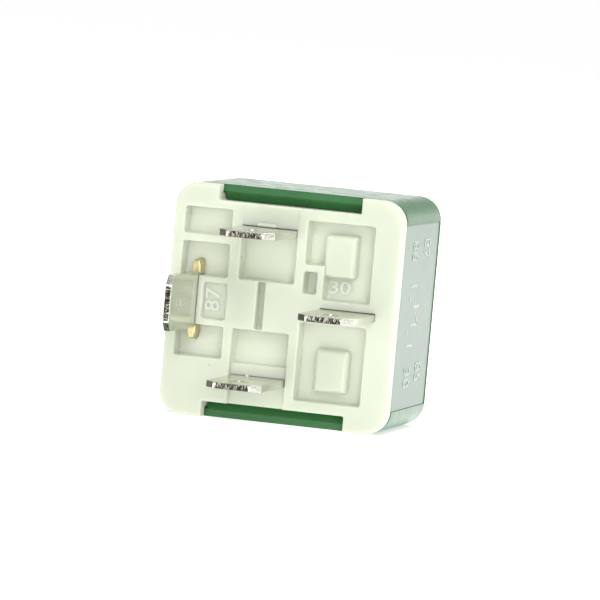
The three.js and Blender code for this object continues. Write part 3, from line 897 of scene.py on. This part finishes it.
def mark_metals(obj):
    """Torn and cut metal at the tip, painted shade on the tip chamfers that face left or down, and bare
    brass inside the base.
    """
    tip = CAD_BOX[0][1]
    for face in obj.data.polygons:
        end, turn = (face.center.y - tip) / MM, face.normal
        looks_out, slants = turn.y < -0.5, turn.y > -0.85
        if face.center.y > 0:
            face.material_index = BARE
        elif looks_out and 0.015 < end < 0.12:
            face.material_index = TORN
        elif looks_out and slants and end < BLADE_CHAMFER:
            # Painted shade by facing: chamfers turned left or down get the dark copy, the others the bright
            # cut metal.
            face.material_index = SHADED_CHAMFER if turn.x + turn.z < 0 else CHAMFERED


def inner_strip(outline, middle, axis):
    half = INNER_THICKNESS / 2
    return prism("inside", outline, rounded_ends(middle - half, middle + half, 0.05, 2), axis=axis, steps=3)


def mirrored(points, across):
    """An outline's right-hand side, (offset, y, radius), closed by its mirror image."""
    right = [(across + a, y, r) for a, y, r in points]
    left = [(across - a, y, r) for a, y, r in points[::-1]]
    return right + left


def build_coil_terminal(name):
    low, high = box_mm(name)
    across, middle = (low.x + high.x) / 2, (low.z + high.z) / 2
    piece = blade(name + "_blade", middle, 2, across)
    half, stem, post = BLADE_HALF_WIDTH, 1.25, 0.5
    inside = mirrored([(half, INNER_START, 0), (half, PLUG_END, 0.2), (stem, PLUG_END, 0.2),
                       (stem, 6.0, 0.15), (post, 6.6, 0.1), (post, high.y, 0.1)], across)
    join(piece, inner_strip(inside, middle, "Z"))
    finish_terminal(piece, name)


def build_terminal_30():
    low, high = box_mm("terminal_30")
    across, middle = (low.x + high.x) / 2, 0.0
    piece = blade("terminal_30_blade", middle, 2, across)
    left, right = across - BLADE_HALF_WIDTH, across + BLADE_HALF_WIDTH
    inside = [(left, INNER_START, 0), (right, INNER_START, 0), (right, PLUG_END, 0.2),
              (TENON_END, PLUG_END, 0.1), (TENON_END, high.y, 0.1), (TENON_START, high.y, 0.1),
              (TENON_START, PLUG_END, 0.1), (left, PLUG_END, 0.2)]
    join(piece, inner_strip(inside, middle, "Z"))
    finish_terminal(piece, "terminal_30")


def build_terminal_87():
    high = box_mm("terminal_87")[1]
    middle = BLADE_87_X
    piece = blade("terminal_87_blade", middle, 0, 0.0)
    half, shoulder, arm = BLADE_HALF_WIDTH, 4.5, 2.5
    inside = mirrored([(half, INNER_START, 0), (half, 2.0, 0.1), (shoulder, 2.0, 0.3),
                       (shoulder, PLUG_END, 0.2), (arm, 5.0, 0.2), (arm, high.y - 0.02, 0.25)], 0)
    strip = inner_strip(inside, middle, "X")
    ears = []
    # The shoulders' chamfered ends, which show in the pockets beside the blade
    for side in (1, -1):
        outline = mirrored([(0.5, 2.9, 0), (0.5, 3.75, 0.15), (0.3, 4.42, 0.2)], middle)
        outline = outline if side > 0 else [(x, -z, radius) for x, z, radius in outline[::-1]]
        levels = rounded_ends(SHOULDER_START, POCKET_DEPTH + 0.2, 0.16, 4, 0.02)
        ears.append(prism("ear", outline, levels))
    seat = prism("seat", rectangle(middle - INNER_THICKNESS / 2, high.x, -arm, arm, 0.2),
                 rounded_ends(FIXED_LOW.y - 0.15, high.y, 0.07))
    join(piece, strip, seat, *ears)
    hole = circle((FIXED_LOW.x + FIXED_HIGH.x) / 2, 0, RIVET_HOLE_RADIUS, 24)
    cut(piece, prism("hole", hole, [(FIXED_LOW.y - 1, 0), (high.y + 1, 0)]))
    finish_terminal(piece, "terminal_87", SHEARED_EDGE)


def finish_terminal(piece, node, sheared=SHEARED_FLAT):
    dress(piece, [TIN, sheared, BRASS, CHAMFER_SHADE, CUT], replaces=[node])
    mark_metals(piece)


# Magnet, coil and contacts

def build_yoke():
    thick = 1.4
    profile = [
        (YOKE_LOW.x, YOKE_LOW.y, 0.2), (YOKE_HIGH.x, YOKE_LOW.y, 1.3), (YOKE_HIGH.x, YOKE_HIGH.y, 0.15),
        (YOKE_HIGH.x - thick, YOKE_HIGH.y, 0.15), (YOKE_HIGH.x - thick, YOKE_LOW.y + thick, 0.3),
        (YOKE_LOW.x, YOKE_LOW.y + thick, 0.2),
    ]
    yoke = prism("yoke_bracket", profile, rounded_ends(YOKE_LOW.z, YOKE_HIGH.z, 0.12), axis="Z")
    through = [(YOKE_LOW.y - 1, 0), (YOKE_LOW.y + 2, 0)]
    half = INNER_THICKNESS / 2 + HOLE_GAP
    tools = [
        prism("hole", circle(COIL_X, 0, STAKE_RADIUS + HOLE_GAP), through),
        prism("hole", rectangle(TENON_START - HOLE_GAP, TENON_END + HOLE_GAP, -half, half), through),
    ]
    for node in ("yoke_rivet_upper", "yoke_rivet_lower"):
        low, high = box_mm(node)
        y, z = (low.y + high.y) / 2, (low.z + high.z) / 2
        through = [(YOKE_HIGH.x - 3, 0), (YOKE_HIGH.x + 1, 0)]
        tools.append(prism("hole", circle(z, y, RIVET_HOLE_RADIUS, 24), through, "X"))
    dress(cut(yoke, *tools), STEEL, replaces=["yoke"])


def build_core():
    pole, radius = (CORE_HIGH.x - CORE_LOW.x) / 2, 2.5
    low, high = CORE_LOW.y, CORE_HIGH.y
    stake_end, pole_start = BOBBIN_LOW.y - 0.1, high - 0.8
    profile = [
        (0, low, 0), (STAKE_RADIUS, low, 0.2), (STAKE_RADIUS, stake_end, 0.05), (radius, stake_end, 0.1),
        (radius, pole_start, 0.1), (pole, pole_start, 0.1), (pole, high, 0.18), (0, high, 0),
    ]
    dress(turned("core_pole", profile, COIL_X, 0), STEEL, replaces=["core"])


def build_bobbin():
    radius = (BOBBIN_HIGH.x - BOBBIN_LOW.x) / 2
    low, high = BOBBIN_LOW.y, BOBBIN_HIGH.y
    bore, barrel, flange = 2.75, 3.6, 0.8
    profile = [
        (bore, low, 0.05), (radius, low, 0.2), (radius, low + flange, 0.2), (barrel, low + flange, 0.1),
        (barrel, high - flange, 0.1), (radius, high - flange, 0.2), (radius, high, 0.2), (bore, high, 0.05),
    ]
    spool = turned("bobbin_spool", profile, COIL_X, 0, count=56)
    dress(spool, NYLON, replaces=["bobbin"])


def build_winding():
    """The winding, with its turns showing on its outer layer."""
    low, high = TAPE_LOW.y, TAPE_HIGH.y
    turns = 34
    pitch = (high - low) / turns
    inner, outer, groove = 3.75, 6.5, 0.06
    profile = [(inner, low, 0), (outer - groove, low, 0)]
    for k in range(turns):
        profile.append((outer, low + (k + 0.5) * pitch, 0))
        profile.append((outer - groove, low + (k + 1) * pitch, 0))
    profile.append((inner, high, 0))
    winding = turned("winding_turns", profile, COIL_X, 0, count=48)
    dress(winding, COPPER, replaces=["coil_winding"])


def build_tape():
    """One turn of tape whose end steps in where it overlaps."""
    outer = (TAPE_HIGH.x - TAPE_LOW.x) / 2
    low, high = TAPE_LOW.y + 0.1, TAPE_HIGH.y - 0.1
    bm = bmesh.new()
    count, lap, thickness = 72, 0.12, 0.2
    rows = []
    for k in range(count + 1):
        angle = 2 * math.pi * k / count + 0.9
        step = lap * k / count
        spoke = Vector((math.cos(angle), 0, math.sin(angle)))
        centre = Vector((COIL_X, 0, 0))
        row = []
        under, over = outer - thickness - step, outer - step
        for radius, y in ((under, low), (over, low), (over, high), (under, high)):
            row.append(bm.verts.new((centre + spoke * radius + Vector((0, y, 0))) * MM))
        rows.append(row)
    for a, b in zip(rows, rows[1:]):
        for i in range(4):
            j = (i + 1) % 4
            bm.faces.new((a[i], a[j], b[j], b[i]))
    bm.faces.new(rows[0])
    bm.faces.new(rows[-1])
    dress(new_object("tape_wrap", bm), TAPE, replaces=["coil_tape"])


def build_coil_lead(node, side):
    """A coil end: out of the winding by the lower flange and round its terminal's post."""
    low, high = box_mm("terminal_86")
    post_x, post_z = (low.x + high.x) / 2, 8.4
    wrap, pitch, turns, steps = 0.9, 0.5, 2.5, 14
    start = BOBBIN_LOW.y + 1.4
    points = [(COIL_X + 2.2, start - 0.25, 6.85), (COIL_X + 0.4, start - 0.2, 7.08),
              (COIL_X - 0.9, start - 0.15, 7.15), (COIL_X - 2.0, start - 0.05, 7.35)]
    for i in range(int(turns * steps) + 1):
        angle = 2 * math.pi * i / steps - math.pi / 2
        x, z = post_x - wrap * math.cos(angle), post_z + wrap * math.sin(angle)
        points.append((x, start + pitch * i / steps, z))
    lead = wire(node + "_wire", [(x, y, side * z) for x, y, z in points], 0.15)
    dress(lead, COPPER, replaces=[node])


def build_armature():
    low, high = ARMATURE_LOW, ARMATURE_HIGH
    nose, taper_start = 4.0, -3.0
    outline = [
        (low.x, -nose, 0.5), (taper_start, low.z, 0.5), (high.x, low.z, 0.3), (high.x, high.z, 0.3),
        (taper_start, high.z, 0.5), (low.x, nose, 0.5),
    ]
    plate = prism("armature_plate", outline, rounded_ends(low.y, high.y, 0.12))
    dress(plate, STEEL, "armature_set", ["armature"])


def rivet_profile(start, top, radius):
    """A shank from its start to a domed head."""
    head_radius, height = 1.3, 0.42
    head = top - height
    return [(0, start, 0), (radius, start, 0.05), (radius, head, 0.03), (head_radius, head, 0.08),
            (head_radius * 0.86, head + height * 0.75, 0.4), (0, head + height, 0)]


def build_rivets():
    for side in ("upper", "lower"):
        node = "armature_rivet_" + side
        low, high = box_mm(node)
        x, z = (low.x + high.x) / 2, (low.z + high.z) / 2
        profile = rivet_profile(ARMATURE_HIGH.y - 0.3, high.y, 0.78)
        rivet = turned(node + "_head", profile, x, z, count=28)
        dress(rivet, BRASS, "armature_set", [node])
        node = "yoke_rivet_" + side
        low, high = box_mm(node)
        y, z = (low.y + high.y) / 2, (low.z + high.z) / 2
        profile = rivet_profile(low.x, high.x, 0.8)
        rivet = turned(node + "_head", profile, z, y, axis="X", count=28)
        dress(rivet, BRASS, "relay", [node])


def build_contacts():
    x = (FIXED_LOW.x + FIXED_HIGH.x) / 2
    low, high, radius, shank = FIXED_LOW.y, FIXED_HIGH.y, CONTACT_RADIUS, 0.8
    seat = low + 0.8
    profile = [(0, low, 0), (shank, low, 0.1), (shank, seat, 0), (radius, seat, 0.08),
               (radius, high - 0.2, 0.2), (shank, high - 0.03, 0.5), (0, high, 0)]
    button = turned("fixed_contact_button", profile, x, 0, count=32)
    dress(button, SILVER, "relay", ["fixed_contact"])
    low, high, shank = MOVING_LOW.y, MOVING_HIGH.y, 0.6
    under, over = SPRING_HIGH.y - LEAF_THICKNESS - 0.1, SPRING_HIGH.y + 0.03
    profile = [(0, low, 0), (radius, low, 0.2), (radius, under, 0.1), (shank, under, 0),
               (shank, over, 0), (1.0, over, 0.1), (0.75, high, 0.15), (0, high, 0)]
    button = turned("moving_contact_button", profile, x, 0, count=32)
    dress(button, SILVER, "armature_set", ["moving_contact"])


LEG_STEPS = 12
BEND_STEPS = 12
TOP_STEPS = 40


def spring_path(offset):
    """The leaf's inner line seen along Z, up its leg and along its top, moved outwards by offset."""
    inner_x = SPRING_HIGH.x - LEAF_THICKNESS
    top_y = SPRING_HIGH.y - LEAF_THICKNESS
    bend = 1.2
    centre = Vector((inner_x - bend, top_y - bend))
    points = []
    for k in range(LEG_STEPS):
        y = SPRING_LOW.y + (centre.y - SPRING_LOW.y) * k / LEG_STEPS
        points.append(Vector((inner_x + offset, y)))
    for k in range(BEND_STEPS + 1):
        angle = math.pi / 2 * k / BEND_STEPS
        points.append(centre + Vector((math.cos(angle), math.sin(angle))) * (bend + offset))
    for k in range(1, TOP_STEPS + 1):
        x = centre.x + (SPRING_LOW.x - centre.x) * k / TOP_STEPS
        points.append(Vector((x, top_y + offset)))
    return points


def spring_half_width(x, on_top):
    """The leaf narrows smoothly from the armature's nose to the contact, and has a round tip."""
    broad, narrow, round_tip = 3.6, 1.9, 0.6
    if not on_top:
        return broad
    into = min(max((ARMATURE_LOW.x + 1.4 - x) / 1.2, 0), 1)
    width = broad + (narrow - broad) * into * into * (3 - 2 * into)
    from_tip = x - SPRING_LOW.x
    if from_tip < round_tip:
        width -= round_tip * (1 - math.sqrt(max(0.0, 1 - (1 - from_tip / round_tip) ** 2)))
    return width


def build_spring():
    bm = bmesh.new()
    outer, inner = spring_path(LEAF_THICKNESS), spring_path(0.0)
    rows = []
    for i, (a, b) in enumerate(zip(outer, inner)):
        half = spring_half_width(a.x, i > LEG_STEPS + BEND_STEPS)
        stations = [-half, -half * 0.5, 0, half * 0.5, half]
        row = [bm.verts.new(Vector((a.x, a.y, z)) * MM) for z in stations]
        row += [bm.verts.new(Vector((b.x, b.y, z)) * MM) for z in stations[::-1]]
        rows.append(row)
    for low, high in zip(rows, rows[1:]):
        for i in range(len(low)):
            j = (i + 1) % len(low)
            bm.faces.new((low[i], low[j], high[j], high[i]))
    bm.faces.new(rows[0])
    bm.faces.new(rows[-1])
    leaf = new_object("contact_leaf", bm)
    dress(leaf, BRONZE, None, ["contact_spring"])
    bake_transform(leaf)


def build_stop():
    low, high = STOP_LOW, STOP_HIGH
    thick, post_start = 0.5, 4.95
    post = prism("stop_strip", rectangle(low.x, low.x + thick, post_start, high.z, 0.1),
                 rounded_ends(low.y, high.y, 0.1))
    arm = prism("arm", rectangle(low.x, high.x, low.z, high.z, 0.25),
                rounded_ends(high.y - thick, high.y, 0.1))
    dress(join(post, arm), BRONZE, replaces=["stop_bracket"])


def drop(name, material, place, width, height, depth):
    """A small flattened drop or speck on the base."""
    x, y, z = place
    bm = bmesh.new()
    bmesh.ops.create_uvsphere(bm, u_segments=28, v_segments=16, radius=1)
    for vertex in bm.verts:
        p = vertex.co
        flat = 1 + 0.08 * math.sin(3 * p.x + 1) + 0.05 * math.sin(5 * p.z)
        vertex.co = Vector((x + p.x * width * flat, y + p.y * depth, z + p.z * height)) * MM
    return dress(new_object(name, bm), material)


# Assembly

build_base()
build_cover()
build_print()
build_coil_terminal("terminal_85")
build_coil_terminal("terminal_86")
build_terminal_30()
build_terminal_87()
build_yoke()
build_core()
build_bobbin()
build_winding()
build_tape()
build_coil_lead("coil_lead_86", 1)
build_coil_lead("coil_lead_85", -1)
build_armature()
build_rivets()
build_contacts()
build_spring()
build_stop()
drop("resin_85", RESIN, (-3.2, 0.05, -7.95), 0.2, 0.14, 0.25)
drop("fleck_lower", FLECK, (-7.67, 0.05, -7.19), 0.1, 0.06, 0.08)
drop("fleck_upper", FLECK, (-5.2, 0.6, 5.15), 0.04, 0.1, 0.1)


# Stage

def build_floor():
    """A wide pale floor."""
    bm = bmesh.new()
    floor_z = CAD_BOX[0][2] - 0.00002
    reach = 4.0
    corners = [(-reach, -reach), (reach, -reach), (reach, reach), (-reach, reach)]
    bm.faces.new([bm.verts.new((x, y, floor_z)) for x, y in corners])
    floor = new_object("studio_floor", bm)
    finish = Finish("studio_floor", (0.88, 0.88, 0.88), 0.8)
    finish.shader.inputs["Specular IOR Level"].default_value = 0.1
    finish.shader.inputs["Emission Color"].default_value = (1, 1, 1, 1)
    finish.shader.inputs["Emission Strength"].default_value = 0.6
    floor.data.materials.append(finish.material)


def area_light(name, place, target, size, power):
    light = bpy.data.lights.new(name, "AREA")
    light.shape = "RECTANGLE"
    light.size, light.size_y = size
    light.energy = power
    lamp = placed(name, light)
    lamp.location = place
    aim = (Vector(target) - Vector(place)).to_track_quat("-Z", "Y")
    lamp.rotation_euler = aim.to_euler()


def build_world():
    """A studio that is white at the horizon and darker overhead."""
    world = bpy.data.worlds.new("studio")
    world.use_nodes = True
    nodes, links = world.node_tree.nodes, world.node_tree.links
    direction = nodes.new("ShaderNodeTexCoord").outputs["Generated"]
    split = nodes.new("ShaderNodeSeparateXYZ")
    fade = nodes.new("ShaderNodeMapRange")
    links.new(direction, split.inputs[0])
    links.new(split.outputs["Z"], fade.inputs["Value"])
    for name, value in (("From Min", 0.09), ("From Max", 0.24), ("To Min", 1.35), ("To Max", 0.4)):
        fade.inputs[name].default_value = value
    background = nodes["Background"]
    background.inputs["Color"].default_value = (1, 1, 1, 1)
    links.new(fade.outputs["Result"], background.inputs["Strength"])
    bpy.context.scene.world = world


def build_lights():
    area_light("key", (0.08, -0.21, 0.17), (0, 0, 0), (0.16, 0.16), 0.36)
    area_light("side_fill", (0.32, -0.85, 0.12), (0, 0, 0), (0.3, 0.2), 1.5)
    area_light("floor_glow", (0.1, 0.3, 0.4), (0.07, 0.25, 0), (0.4, 0.4), 2.6)
    build_world()


CAMERA_PLACE = (0.16107, -0.64766, 0.04705)
CAMERA_TURN = (86.046, -5.116, 14.143)
LENS = 360.0


def build_camera():
    camera = bpy.data.cameras.new("camera")
    camera.lens = LENS
    camera.sensor_width = 36.0
    camera.clip_start = 0.01
    viewer = placed("camera", camera)
    viewer.location = CAMERA_PLACE
    viewer.rotation_euler = [math.radians(a) for a in CAMERA_TURN]
    bpy.context.scene.camera = viewer


build_floor()
build_lights()
build_camera()
bpy.context.scene.view_settings.view_transform = "Standard"
